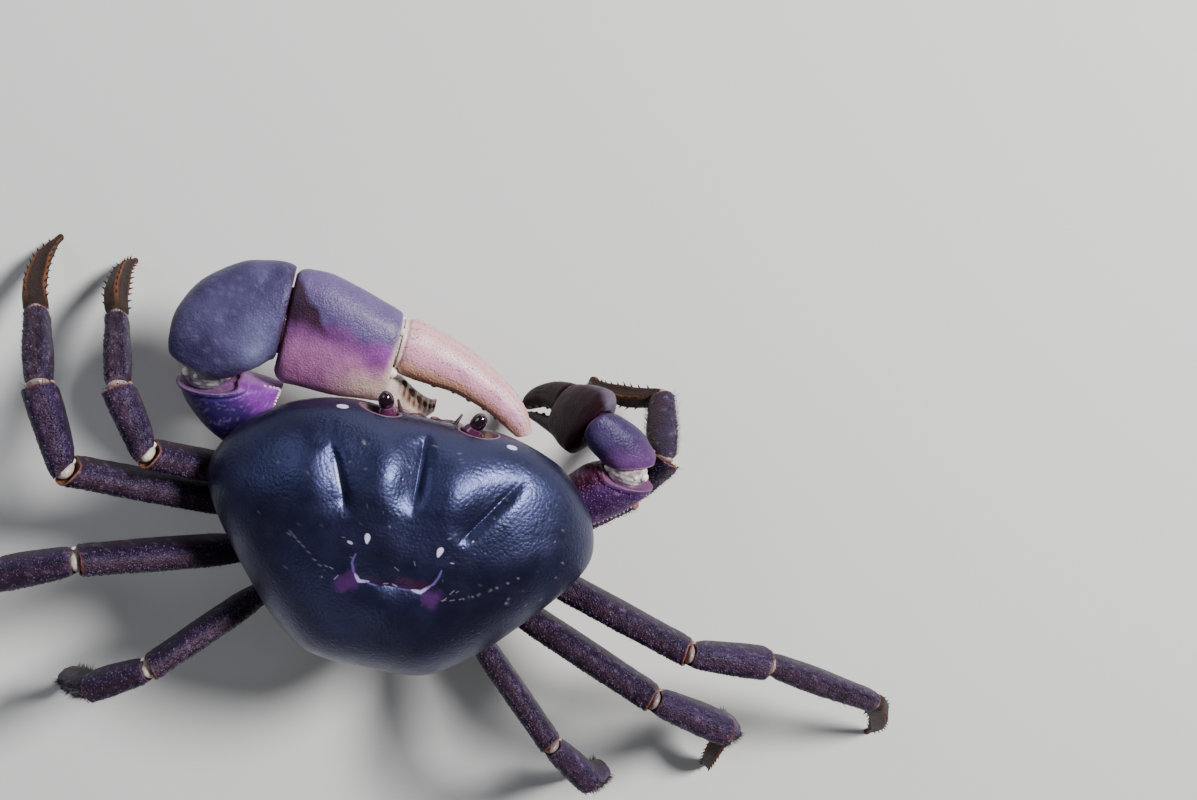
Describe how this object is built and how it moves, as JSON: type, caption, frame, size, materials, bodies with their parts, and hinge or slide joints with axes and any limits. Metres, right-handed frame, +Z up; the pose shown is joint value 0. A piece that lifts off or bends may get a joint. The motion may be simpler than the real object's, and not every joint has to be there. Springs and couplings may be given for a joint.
{
  "type": "land crab",
  "caption": "Life-size still model of a dark purple land crab standing on its walking legs with its claws folded in front.",
  "frame": {"origin": "middle of the whole stance on the floor, under the body", "axes": "+X to the crab's right, across the leg span; +Y forward, the way its eyes look; +Z up"},
  "size_m": [0.2338, 0.1196, 0.0655],
  "materials": {
    "carapace_shell": "satin, finely pitted, blue-black",
    "underside_shell": "matt, pale brown-cream",
    "mouthparts": "matt, maroon with fine hairs",
    "eyes": "wet gloss, dark maroon",
    "arm_shell": "satin, violet with a serrated crest",
    "palm_shell": "satin, violet above fading to pink",
    "finger_shell": "satin, pink to cream with fine granules",
    "leg_shell": "striated, purple-violet with maroon sides",
    "leg_tips": "ridged and spined, brown-grey"
  },
  "bodies": {
    "root": {"carapace": "carapace_shell", "sternum": "underside_shell", "abdomen": "underside_shell", "maxilliped_left": "mouthparts", "maxilliped_right": "mouthparts", "eye_left": "eyes", "eye_right": "eyes", "antenna_left": "mouthparts", "antenna_right": "mouthparts", "claw_left_base": "arm_shell", "claw_left_merus": "arm_shell", "claw_left_carpus": "arm_shell", "claw_left_palm": "palm_shell", "claw_left_finger": "finger_shell", "claw_right_base": "arm_shell", "claw_right_merus": "arm_shell", "claw_right_carpus": "arm_shell", "claw_right_palm": "palm_shell", "claw_right_finger": "finger_shell", "leg_left_1_base": "leg_shell", "leg_left_1_merus": "leg_shell", "leg_left_1_carpus": "leg_shell", "leg_left_1_propodus": "leg_shell", "leg_left_1_dactyl": "leg_tips", "leg_left_2_base": "leg_shell", "leg_left_2_merus": "leg_shell", "leg_left_2_carpus": "leg_shell", "leg_left_2_propodus": "leg_shell", "leg_left_2_dactyl": "leg_tips", "leg_left_3_base": "leg_shell", "leg_left_3_merus": "leg_shell", "leg_left_3_carpus": "leg_shell", "leg_left_3_propodus": "leg_shell", "leg_left_3_dactyl": "leg_tips", "leg_left_4_base": "leg_shell", "leg_left_4_merus": "leg_shell", "leg_left_4_carpus": "leg_shell", "leg_left_4_propodus": "leg_shell", "leg_left_4_dactyl": "leg_tips", "leg_right_1_base": "leg_shell", "leg_right_1_merus": "leg_shell", "leg_right_1_carpus": "leg_shell", "leg_right_1_propodus": "leg_shell", "leg_right_1_dactyl": "leg_tips", "leg_right_2_base": "leg_shell", "leg_right_2_merus": "leg_shell", "leg_right_2_carpus": "leg_shell", "leg_right_2_propodus": "leg_shell", "leg_right_2_dactyl": "leg_tips", "leg_right_3_base": "leg_shell", "leg_right_3_merus": "leg_shell", "leg_right_3_carpus": "leg_shell", "leg_right_3_propodus": "leg_shell", "leg_right_3_dactyl": "leg_tips", "leg_right_4_base": "leg_shell", "leg_right_4_merus": "leg_shell", "leg_right_4_carpus": "leg_shell", "leg_right_4_propodus": "leg_shell", "leg_right_4_dactyl": "leg_tips"}
  },
  "joints": []
}
